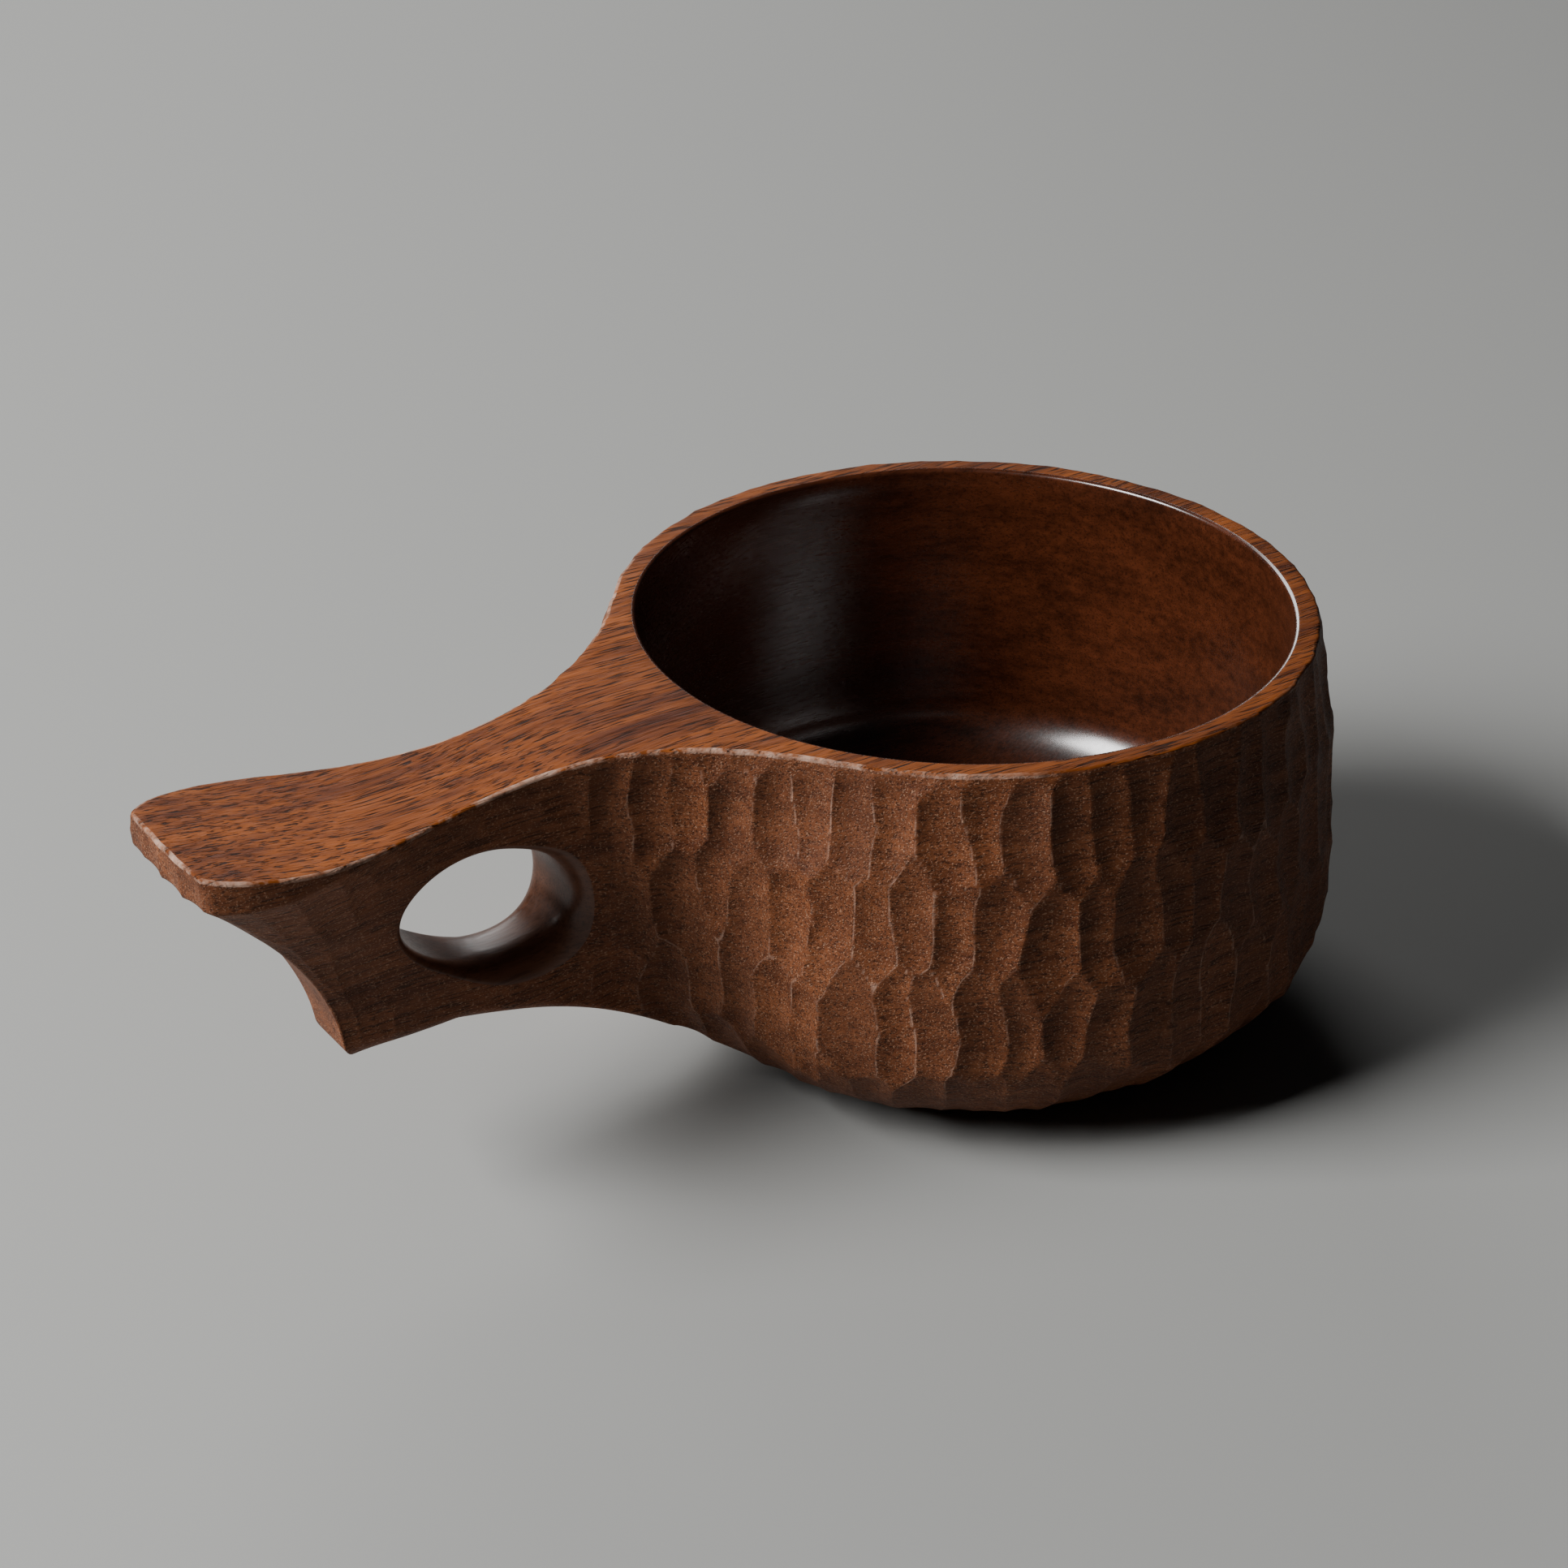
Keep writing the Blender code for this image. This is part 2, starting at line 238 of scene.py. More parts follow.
def top(strips):
    """Rows from the mouth or middle line out to the top edge, ending just above the flank's first row."""
    edge = strips[:, 0:2]
    target = np.column_stack([strips[:, 8], 0 * strips[:, 8]])
    last = mouth_strip(strips)
    target[last, 0] = MOUTH_RADIUS + MOUTH_EASE
    line = target[:last] - edge[:last]
    a = (line**2).sum(1)
    b = (edge[:last] * line).sum(1)
    c = (edge[:last] ** 2).sum(1) - (MOUTH_RADIUS + MOUTH_EASE) ** 2
    crossing = (-b - np.sqrt(b * b - a * c)) / a
    target[:last] = edge[:last] + crossing[:, None] * line

    length = np.hypot(*(target - edge).T)[:, None]
    turn = np.linspace(0, math.pi / 2, EASE_ROWS + 1)[1:]
    rim_ease = TOP_EDGE_EASE * (1 - np.cos(turn))
    across = CUT_MARGIN + (length - CUT_MARGIN) * np.linspace(0, 1, TOP_ROWS)
    in_from_edge = np.concatenate([np.tile(rim_ease, (len(strips), 1)), across], 1)
    points = edge[:, None] + (target - edge)[:, None] * (in_from_edge / length)[:, :, None]
    drop = thumb_drop(points[:, :, 0])
    drop[:, :EASE_ROWS] += TOP_EDGE_EASE * (1 - np.sin(turn))
    return np.concatenate([points, drop[:, :, None]], 2)[:, ::-1]


# The inside is turned on a lathe: a smooth wall that swells below the rim and rounds in to the floor.

INSIDE_BELLY_RADIUS = 0.0474
FLOOR_RADIUS = 0.0150
INSIDE_DEPTH = 0.0535
WALL_ROWS = 10
ROUND_ROWS = 14
FLOOR_ROWS = 3


def inside(mouth):
    """Rows from the mouth down the inside to the middle of the floor, below each point of the mouth."""
    direction = mouth[:, :2] / np.hypot(*mouth[:, :2].T)[:, None]
    turn = np.linspace(0, math.pi / 2, EASE_ROWS + 1)
    down = np.linspace(0, 1, WALL_ROWS + 1)[1:]
    swing = np.linspace(0, math.pi / 2, ROUND_ROWS + 1)[1:]
    swell = INSIDE_BELLY_RADIUS - MOUTH_RADIUS
    radius = np.concatenate(
        [
            MOUTH_RADIUS + MOUTH_EASE * (1 - np.sin(turn[1:])),
            MOUTH_RADIUS + swell * (1 - (1 - down) ** 2),
            FLOOR_RADIUS + (INSIDE_BELLY_RADIUS - FLOOR_RADIUS) * np.cos(swing),
            FLOOR_RADIUS * np.linspace(1, 0, FLOOR_ROWS + 1)[1:],
        ]
    )
    drop = np.concatenate(
        [
            MOUTH_EASE * (1 - np.cos(turn[1:])),
            MOUTH_EASE + (BELLY_DROP - MOUTH_EASE) * down,
            BELLY_DROP + (INSIDE_DEPTH - BELLY_DROP) * np.sin(swing),
            np.full(FLOOR_ROWS, INSIDE_DEPTH),
        ]
    )
    points = direction[:, None] * radius[None, :, None]
    drop = np.broadcast_to(drop[None, :, None], points.shape[:2] + (1,))
    below = np.concatenate([points, drop], 2)
    return np.concatenate([mouth[:, None], below], 1)


def both_sides(rows):
    """Mirrors rows on one half of the cup, so that they run right round it. The shared ends come once."""
    back = rows[-2:0:-1].copy()
    back[..., 1] *= -1
    return np.concatenate([rows, back])


def quads(strip_count, row_count, first):
    """Faces over a closed run of strips whose points are numbered strip by strip, from first."""
    i = np.arange(strip_count)[:, None]
    j = np.arange(row_count - 1)[None, :]
    here = i * row_count + j
    after = (i + 1) % strip_count * row_count + j
    return first + np.stack([here, here + 1, after + 1, after], 2)


def unit(vectors):
    return vectors / np.maximum(np.linalg.norm(vectors, axis=-1, keepdims=True), 1e-12)


def smooth_step(value, start, end):
    """0 before start, 1 after end. start may be the larger."""
    return ease((value - start) / (end - start))


PLANED, CARVED, TURNED = range(3)
HOLE_CENTRE = (0.0795, 0.0199)
HOLE_TILT = math.radians(17)
LEFT_SMOOTH = (0.0165, 0.0108)

strips = outline()
reach, half, drop = flank(strips)
rows = np.concatenate([top(strips), np.stack([reach, half, drop], 2), under(strips, reach, half, drop)], 1)
first_flank = TOP_ROWS + EASE_ROWS
skin = both_sides(rows)
bowl_inside = both_sides(inside(rows[: mouth_strip(strips) + 1, 0]))

# What the knife needs to know at each point: where it is along and down the flank, which way is out,
# and how hard the wood was cut there. The flank by the finger hole and under the cup is left smooth.
outline_length = 2 * strips[-1, -1]
around = np.concatenate([strips[:, -1], outline_length - strips[-2:0:-1, -1]])[:, None]
steps = np.linalg.norm(np.diff(skin[:, first_flank:], axis=1), axis=2)
down = np.zeros(skin.shape[:2])
down[:, first_flank + 1 :] = np.cumsum(steps, 1)
place = skin * (-1, -1, -1) + (0, 0, HEIGHT)
across_strips = (np.roll(place, -1, 0) - np.roll(place, 1, 0)) / (2 * strips[1, -1])
down_strips = unit(np.gradient(place, axis=1))
outward = unit(np.cross(unit(across_strips), down_strips))
brink = unit(outward[:, first_flank + 1] * (1, 1, 0))
outward[:, :first_flank + 1] = brink[:, None]

top_edge = skin[:, first_flank - 1, None, :]
hole_run = skin[..., 0] - HOLE_CENTRE[0]
hole_fall = skin[..., 2] - HOLE_CENTRE[1]
hole_long = hole_run * math.cos(HOLE_TILT) - hole_fall * math.sin(HOLE_TILT)
hole_short = hole_run * math.sin(HOLE_TILT) + hole_fall * math.cos(HOLE_TILT)
from_hole = np.hypot(hole_long / LEFT_SMOOTH[0], hole_short / LEFT_SMOOTH[1])
on_bowl = smooth_step(top_edge[..., 0], 0.076, 0.060)
carve = 0.30 + 0.70 * on_bowl
carve = carve + 0.2 * smooth_step(top_edge[..., 0], 0.112, 0.120) * smooth_step(skin[..., 2], 0.010, 0.005)
tail_scoop = smooth_step(top_edge[..., 0], 0.1185, 0.1205) * smooth_step(skin[..., 2], 0.008, 0.014)
carve = carve * (1 - tail_scoop)
carve = carve * smooth_step(from_hole, 1.10, 1.45)
carve = carve * (1 - 0.5 * smooth_step(skin[..., 2], 0.044, 0.055))
carve = carve * (0.36 + 0.64 * smooth_step(down, 0, 0.0035))
carve = carve * smooth_step(skin[..., 2], HEIGHT - 0.0012, HEIGHT - 0.0060)
fade_low = smooth_step(under_drop(skin[..., 0]) - skin[..., 2], 0.0005, 0.0035)
carve = carve * np.where(skin[..., 0] > 0.052, fade_low, 1)
carve[:, : first_flank - EASE_ROWS] = 0
carve[:, first_flank + FLANK_ROWS :] = 0

skin_faces = quads(*skin.shape[:2], 0)
skin_material = np.full(skin_faces.shape[:2], CARVED)
skin_material[:, : first_flank - 1] = PLANED
inside_faces = quads(*bowl_inside.shape[:2], place[..., 0].size)
inside_place = bowl_inside * (-1, -1, -1) + (0, 0, HEIGHT)
points = np.concatenate([place.reshape(-1, 3), inside_place.reshape(-1, 3)])
faces = np.concatenate([skin_faces.reshape(-1, 4), inside_faces.reshape(-1, 4)])
face_material = np.concatenate([skin_material.reshape(-1), np.full(inside_faces[..., 0].size, TURNED)])

cup_mesh = bpy.data.meshes.new("cup")
cup_mesh.from_pydata(points.tolist(), [], faces.tolist())
cup_mesh.polygons.foreach_set("material_index", face_material.astype(np.int32))
inside_count = len(points) - place[..., 0].size


def add_values(name, kind, values):
    """Stores a value at each point of the outside as an attribute. It is zero inside the bowl."""
    field = "value" if kind == "FLOAT" else "vector"
    width = 1 if kind == "FLOAT" else 3
    flat = np.concatenate([values.reshape(-1, width), np.zeros((inside_count, width))])
    cup_mesh.attributes.new(name, kind, "POINT").data.foreach_set(field, flat.astype(np.float32).ravel())


along_and_down = np.stack([np.broadcast_to(around, down.shape), down, 0 * down], 2)
add_values("along_and_down", "FLOAT_VECTOR", along_and_down)
add_values("outward", "FLOAT_VECTOR", outward)
add_values("around_way", "FLOAT_VECTOR", across_strips)
add_values("carve", "FLOAT", carve)
# The top edge's rows, marked for a pale line that is partly rubbed wear and partly a painted highlight, a
# little stronger on the handle.
edge_rows = np.zeros(down.shape)
more_on_handle = 0.10 * smooth_step(top_edge[..., 0], 0.015, 0.040)
edge_rows[:, first_flank - EASE_ROWS : first_flank + 1] = 0.90 + more_on_handle
add_values("edge", "FLOAT", edge_rows)

work = bmesh.new()
work.from_mesh(cup_mesh)
bmesh.ops.remove_doubles(work, verts=work.verts, dist=2e-6)
bmesh.ops.dissolve_degenerate(work, edges=work.edges, dist=1e-6)
bmesh.ops.recalc_face_normals(work, faces=work.faces)
for face in work.faces:
    face.smooth = True
work.to_mesh(cup_mesh)
work.free()
cup = bpy.data.objects.new("cup", cup_mesh)
bpy.context.scene.collection.objects.link(cup)


# ---- Knife cuts on the outside -------------------------------------------------------------------
# The flank is finished with a hook knife: long shallow scoops in staggered rows, each ending in a
# point where its neighbours begin, with a crisp ridge left between any two. Each scoop is a bowl
# sunk round its own centre, and a point belongs to the nearest centre, so ridges form half way.

CUT_WIDTH = 0.0055
CUT_LENGTH = 0.0150
CUT_DEPTH = 0.00115
CUTS_SEED = 7


def add_node(tree, kind, inputs=None, **settings):
    """Adds a node, sets its properties, and links or sets its inputs by name or number."""
    node = tree.nodes.new(kind)
    for name, value in settings.items():
        setattr(node, name, value)
    for key, value in (inputs or {}).items():
        if isinstance(value, bpy.types.NodeSocket):
            tree.links.new(value, node.inputs[key])
        else:
            node.inputs[key].default_value = value
    return node


def maths(tree, operation, *values):
    """The result of a Math node on one to three values or sockets."""
    return add_node(tree, "ShaderNodeMath", dict(enumerate(values)), operation=operation).outputs[0]


def vector_maths(tree, operation, *values, out="Vector"):
    return add_node(tree, "ShaderNodeVectorMath", dict(enumerate(values)), operation=operation).outputs[out]


def knife_cuts_tree():
    tree = bpy.data.node_groups.new("knife cuts", "GeometryNodeTree")
    tree.is_modifier = True
    new_socket = tree.interface.new_socket
    new_socket("Geometry", in_out="INPUT", socket_type="NodeSocketGeometry")
    for name in ("Cuts Around", "Rows", "Seed", "Carved Slot"):
        new_socket(name, in_out="INPUT", socket_type="NodeSocketInt")
    for name in ("Outline Length", "Cut Length", "Cut Depth", "Strip Spacing"):
        new_socket(name, in_out="INPUT", socket_type="NodeSocketFloat")
    new_socket("Carved Wood", in_out="INPUT", socket_type="NodeSocketMaterial")
    new_socket("Geometry", in_out="OUTPUT", socket_type="NodeSocketGeometry")
    given = add_node(tree, "NodeGroupInput").outputs

    # Centres of the cuts, on a flat plan whose unit is a cut's width one way and its length the other.
    spare = 3
    columns = maths(tree, "ADD", given["Cuts Around"], 2 * spare)
    plan = add_node(
        tree,
        "GeometryNodeMeshGrid",
        {
            "Size X": maths(tree, "SUBTRACT", columns, 1),
            "Size Y": maths(tree, "SUBTRACT", given["Rows"], 1),
            "Vertices X": columns,
            "Vertices Y": given["Rows"],
        },
    )
    corner = add_node(
        tree,
        "ShaderNodeCombineXYZ",
        {
            "X": maths(tree, "MULTIPLY", maths(tree, "SUBTRACT", columns, 1), 0.5),
            "Y": maths(tree, "MULTIPLY", maths(tree, "SUBTRACT", given["Rows"], 1), 0.5),
        },
    ).outputs[0]
    spot = add_node(tree, "GeometryNodeInputPosition").outputs[0]
    cell = add_node(tree, "ShaderNodeSeparateXYZ", {0: vector_maths(tree, "ADD", spot, corner)}).outputs
    column = maths(tree, "SUBTRACT", maths(tree, "ROUND", cell["X"]), spare)
    row = maths(tree, "ROUND", cell["Y"])
    stagger = maths(tree, "MULTIPLY", maths(tree, "FLOORED_MODULO", row, 2.0), 0.5)
    wrapped = maths(tree, "FLOORED_MODULO", column, given["Cuts Around"])
    own_number = maths(tree, "MULTIPLY_ADD", row, given["Cuts Around"], wrapped)
    shake = add_node(
        tree,
        "FunctionNodeRandomValue",
        {"Min": (-0.22, -0.20, 0.0), "Max": (0.22, 0.20, 0.42), "ID": own_number, "Seed": given["Seed"]},
        data_type="FLOAT_VECTOR",
    ).outputs[0]
    centre = add_node(
        tree,
        "ShaderNodeCombineXYZ",
        {
            "X": maths(tree, "ADD", column, stagger),
            "Y": maths(tree, "SUBTRACT", row, 1.5),
        },
    ).outputs[0]
    centres = add_node(
        tree,
        "GeometryNodeSetPosition",
        {"Geometry": plan.outputs["Mesh"], "Position": vector_maths(tree, "ADD", centre, shake)},
    ).outputs[0]

    # Where each point of the cup lies on that plan, and the centres nearest to its left and right.
    flat = add_node(
        tree, "GeometryNodeInputNamedAttribute", {"Name": "along_and_down"}, data_type="FLOAT_VECTOR"
    ).outputs["Attribute"]
    per_outline = maths(tree, "DIVIDE", given["Cuts Around"], given["Outline Length"])
    to_plan = add_node(
        tree,
        "ShaderNodeCombineXYZ",
        {"X": per_outline, "Y": maths(tree, "DIVIDE", 1.0, given["Cut Length"])},
    ).outputs[0]
    noise = add_node(tree, "ShaderNodeTexNoise", {"Vector": spot, "Scale": 120.0, "Detail": 0.0})
    waver = vector_maths(tree, "SUBTRACT", noise.outputs["Color"], (0.5, 0.5, 0.5))
    waver = vector_maths(tree, "MULTIPLY", waver, (0.55, 0.45, 0.0))
    point = vector_maths(tree, "ADD", vector_maths(tree, "MULTIPLY", flat, to_plan), waver)
    strip = maths(tree, "MULTIPLY", given["Strip Spacing"], per_outline)

    def nearest_centre(where):
        found = add_node(
            tree, "GeometryNodeSampleNearest", {"Geometry": centres, "Sample Position": where}, domain="POINT"
        ).outputs[0]
        return add_node(
            tree,
            "GeometryNodeSampleIndex",
            {"Geometry": centres, "Value": spot, "Index": found},
            data_type="FLOAT_VECTOR",
            domain="POINT",
        ).outputs[0]

    def squared(vector):
        return vector_maths(tree, "DOT_PRODUCT", vector, vector, out="Value")

    own = nearest_centre(point)

    def ridge_beyond(side):
        """How many strips away, along the outline, the ridge between this cut and the next one is."""
        sideways = maths(tree, "MULTIPLY", strip, 1.5 * side)
        step = add_node(tree, "ShaderNodeCombineXYZ", {"X": sideways}).outputs[0]
        beside = nearest_centre(vector_maths(tree, "ADD", point, step))
        between = vector_maths(tree, "SUBTRACT", beside, own)
        half_way = maths(tree, "MULTIPLY", maths(tree, "SUBTRACT", squared(beside), squared(own)), 0.5)
        short_of = maths(
            tree, "SUBTRACT", half_way, vector_maths(tree, "DOT_PRODUCT", point, between, out="Value")
        )
        across = add_node(tree, "ShaderNodeSeparateXYZ", {0: between}).outputs["X"]
        too_flat = maths(tree, "MULTIPLY_ADD", squared(between), 0.03, 1e-8)
        none = maths(tree, "LESS_THAN", maths(tree, "MULTIPLY", across, across), too_flat)
        distance = maths(tree, "DIVIDE", short_of, maths(tree, "MULTIPLY", across, strip))
        return maths(tree, "MULTIPLY_ADD", none, 99.0 * side, distance)

    # Points within half a strip of a ridge slide onto it, and the next ones close up, so it stays crisp.
    # No point slides half a strip or more, so strips never cross.
    left, right = ridge_beyond(-1), ridge_beyond(1)
    left_away, right_away = maths(tree, "ABSOLUTE", left), maths(tree, "ABSOLUTE", right)
    left_nearer = maths(tree, "LESS_THAN", left_away, right_away)
    to_ridge = maths(tree, "MULTIPLY_ADD", left_nearer, maths(tree, "SUBTRACT", left, right), right)
    away = maths(tree, "MINIMUM", left_away, right_away)
    on_ridge = maths(tree, "LESS_THAN", away, 0.5)
    closed_up = add_node(
        tree,
        "ShaderNodeMapRange",
        {"Value": away, "From Min": 0.5, "From Max": 1.5, "To Min": 0.25, "To Max": 0.60},
    ).outputs["Result"]
    left_over = maths(tree, "MULTIPLY", closed_up, maths(tree, "SUBTRACT", 1.0, on_ridge))
    moved = maths(tree, "MINIMUM", maths(tree, "SUBTRACT", away, left_over), 0.47)
    moved = maths(tree, "MULTIPLY", moved, maths(tree, "SIGN", to_ridge))
    moved = maths(tree, "MULTIPLY", moved, maths(tree, "LESS_THAN", away, 1.5))
    slide = maths(tree, "MULTIPLY", moved, strip)
    slid = add_node(tree, "ShaderNodeCombineXYZ", {"X": slide}).outputs[0]
    point = vector_maths(tree, "ADD", point, slid)
    from_centre = vector_maths(tree, "SUBTRACT", point, nearest_centre(point))
    rise = maths(tree, "MULTIPLY", squared(from_centre), 2.0)

    # The knife goes in along the way out of the wood, as deep as the wood is carved there.
    attribute = {}
    for name, kind in (("outward", "FLOAT_VECTOR"), ("around_way", "FLOAT_VECTOR"), ("carve", "FLOAT")):
        attribute[name] = add_node(
            tree, "GeometryNodeInputNamedAttribute", {"Name": name}, data_type=kind
        ).outputs["Attribute"]
    depth = maths(tree, "MULTIPLY", maths(tree, "SUBTRACT", rise, 0.5), given["Cut Depth"])
    sink = vector_maths(tree, "SCALE", attribute["outward"])
    scale_by(tree, sink, maths(tree, "MULTIPLY", depth, attribute["carve"]))
    carved_here = maths(tree, "GREATER_THAN", attribute["carve"], 0.02)
    shift = vector_maths(tree, "SCALE", attribute["around_way"])
    scale_by(tree, shift, maths(tree, "MULTIPLY", maths(tree, "DIVIDE", slide, per_outline), carved_here))
    cut = add_node(
        tree,
        "GeometryNodeSetPosition",
        {"Geometry": given["Geometry"], "Offset": vector_maths(tree, "ADD", sink, shift)},
    ).outputs[0]
    tone = add_node(tree, "ShaderNodeTexWhiteNoise", {"Vector": own}).outputs["Value"]
    # The ridge value marks where the carved wood gets a pale line: partly wear on the ridges, partly a
    # painted highlight.
    for name, value in (("ridge", maths(tree, "MULTIPLY", on_ridge, attribute["carve"])), ("cut_tone", tone)):
        cut = add_node(
            tree,
            "GeometryNodeStoreNamedAttribute",
            {"Geometry": cut, "Name": name, "Value": value},
            data_type="FLOAT",
            domain="POINT",
        ).outputs[0]
    real = add_node(tree, "GeometryNodeRealizeInstances", {"Geometry": cut}).outputs[0]
    slot = add_node(tree, "GeometryNodeInputMaterialIndex").outputs[0]
    is_carved = add_node(
        tree, "FunctionNodeCompare", {2: slot, 3: given["Carved Slot"]}, data_type="INT", operation="EQUAL"
    ).outputs[0]
    finished = add_node(
        tree,
        "GeometryNodeSetMaterial",
        {"Geometry": real, "Selection": is_carved, "Material": given["Carved Wood"]},
    ).outputs[0]
    add_node(tree, "NodeGroupOutput", {"Geometry": finished})
    return tree


def scale_by(tree, scaled, factor):
    """Links a Scale node's factor, given the socket that it puts out."""
    tree.links.new(factor, scaled.node.inputs["Scale"])


def set_inputs(modifier, values):
    """Sets a Geometry Nodes modifier's inputs, given by name, through their sockets' identifiers."""
    for item in modifier.node_group.interface.items_tree:
        if item.item_type == "SOCKET" and item.in_out == "INPUT" and item.name in values:
            modifier[item.identifier] = values[item.name]


def made_real(obj):
    """Replaces the object's mesh with what its modifiers make of it, and removes them."""
    evaluated = obj.evaluated_get(bpy.context.evaluated_depsgraph_get())
    mesh = bpy.data.meshes.new_from_object(evaluated)
    obj.modifiers.clear()
    obj.data = mesh


wood = {name: bpy.data.materials.new("walnut " + name) for name in ("planed", "carved", "turned", "rubbed")}
for material in wood.values():
    material.use_nodes = True
    cup.data.materials.append(material)

knife = cup.modifiers.new("knife cuts", "NODES")
knife.node_group = knife_cuts_tree()
set_inputs(
    knife,
    {
        "Cuts Around": round(outline_length / CUT_WIDTH),
        "Rows": math.ceil(down.max() / CUT_LENGTH) + 4,
        "Seed": CUTS_SEED,
        "Carved Slot": CARVED,
        "Outline Length": outline_length,
        "Cut Length": CUT_LENGTH,
        "Cut Depth": CUT_DEPTH,
        "Strip Spacing": float(strips[1, -1]),
        "Carved Wood": wood["carved"],
    },
)
made_real(cup)


# ---- Finger hole ---------------------------------------------------------------------------------
# An oval tunnel bored through the web below the thumb plate, then rasped until its lips roll over
# into the flank: widely on the side of the bowl, where the finger lies, and tightly elsewhere.

HOLE_HALF_LENGTH = 0.0134
HOLE_HALF_HEIGHT = 0.0086
TIGHT_LIP = 0.0016
SOFT_LIP = 0.0056
SOFT_SIDE = math.radians(168)
LIP_DEPTH = 0.0046
HOLE_STEPS = 112
LIP_ROWS = 9
LIP_TURN = math.radians(80)


def finger_hole_core():
    """The wood that comes out of the hole, as a closed mesh of rings along Y."""
    angle = np.linspace(0, 2 * math.pi, HOLE_STEPS, endpoint=False)
    softness = smooth_step(np.cos(angle - SOFT_SIDE), -0.2, 1)
    lip = TIGHT_LIP + (SOFT_LIP - TIGHT_LIP) * softness

    def oval(grown):
        """(reach, drop) round the hole, grown outward by a length."""
        long = (HOLE_HALF_LENGTH + grown) * np.cos(angle)
        short = (HOLE_HALF_HEIGHT + grown) * np.sin(angle)
        run = long * math.cos(HOLE_TILT) + short * math.sin(HOLE_TILT)
        fall = short * math.cos(HOLE_TILT) - long * math.sin(HOLE_TILT)
        return HOLE_CENTRE[0] + run, HOLE_CENTRE[1] + fall

    mouth_reach, mouth_drop = oval(lip)
    flank_points = np.column_stack([reach.ravel(), drop.ravel()])
    away = np.hypot(mouth_reach[:, None] - flank_points[:, 0], mouth_drop[:, None] - flank_points[:, 1])
    flank_half = half.ravel()[np.argmin(away, 1)]
    # Only the slow waves are kept, so that the steps from one nearest point to the next don't show.
    waves = np.fft.rfft(flank_half)
    waves[6:] = 0
    flank_half = np.fft.irfft(waves, HOLE_STEPS)

    rings = [(np.zeros(HOLE_STEPS), 0 * lip)]
    depth = np.minimum(1.25 * lip, LIP_DEPTH)
    for turn in np.linspace(0, LIP_TURN, LIP_ROWS):
        below = depth * (math.sin(LIP_TURN) - math.sin(turn))
        rings.append((flank_half + 0.00008 - below, lip * (1 - math.cos(turn))))
    rings.append((flank_half + 0.006, rings[-1][1]))
    rings = [(-side, grown) for side, grown in rings[:0:-1]] + rings

    work = bmesh.new()
    loops = []
    for side, grown in rings:
        run, fall = oval(grown)
        loops.append([work.verts.new((-a, b, HEIGHT - c)) for a, b, c in zip(run, side, fall)])
    for before, after in zip(loops, loops[1:]):
        for i in range(HOLE_STEPS):
            j = (i + 1) % HOLE_STEPS
            work.faces.new((before[i], before[j], after[j], after[i]))
    work.faces.new(loops[0])
    work.faces.new(loops[-1])
    bmesh.ops.recalc_face_normals(work, faces=work.faces)
    mesh = bpy.data.meshes.new("finger hole core")
    work.to_mesh(mesh)
    work.free()
    return mesh


core = bpy.data.objects.new("finger hole core", finger_hole_core())
bpy.context.scene.collection.objects.link(core)
core.data.materials.append(wood["rubbed"])
core.data.polygons.foreach_set("use_smooth", [True] * len(core.data.polygons))
# The cut needs a closed skin. With open edges in it, the hole can come out filled.
bore = cup.modifiers.new("finger hole", "BOOLEAN")
bore.operation = "DIFFERENCE"
bore.solver = "EXACT"
bore.object = core
bore.material_mode = "TRANSFER"
made_real(cup)
bpy.data.objects.remove(core)

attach(cup, "root")
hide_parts("cup_body")


# ---- Walnut --------------------------------------------------------------------------------------
# One wood shows four finishes: planed and oiled on top, left from the knife outside, turned and
# burnished inside, and rubbed by the finger in the hole. All four share the grain, which runs along
# the handle through the whole block, so it shows as lines on the sides and as dots on the end.


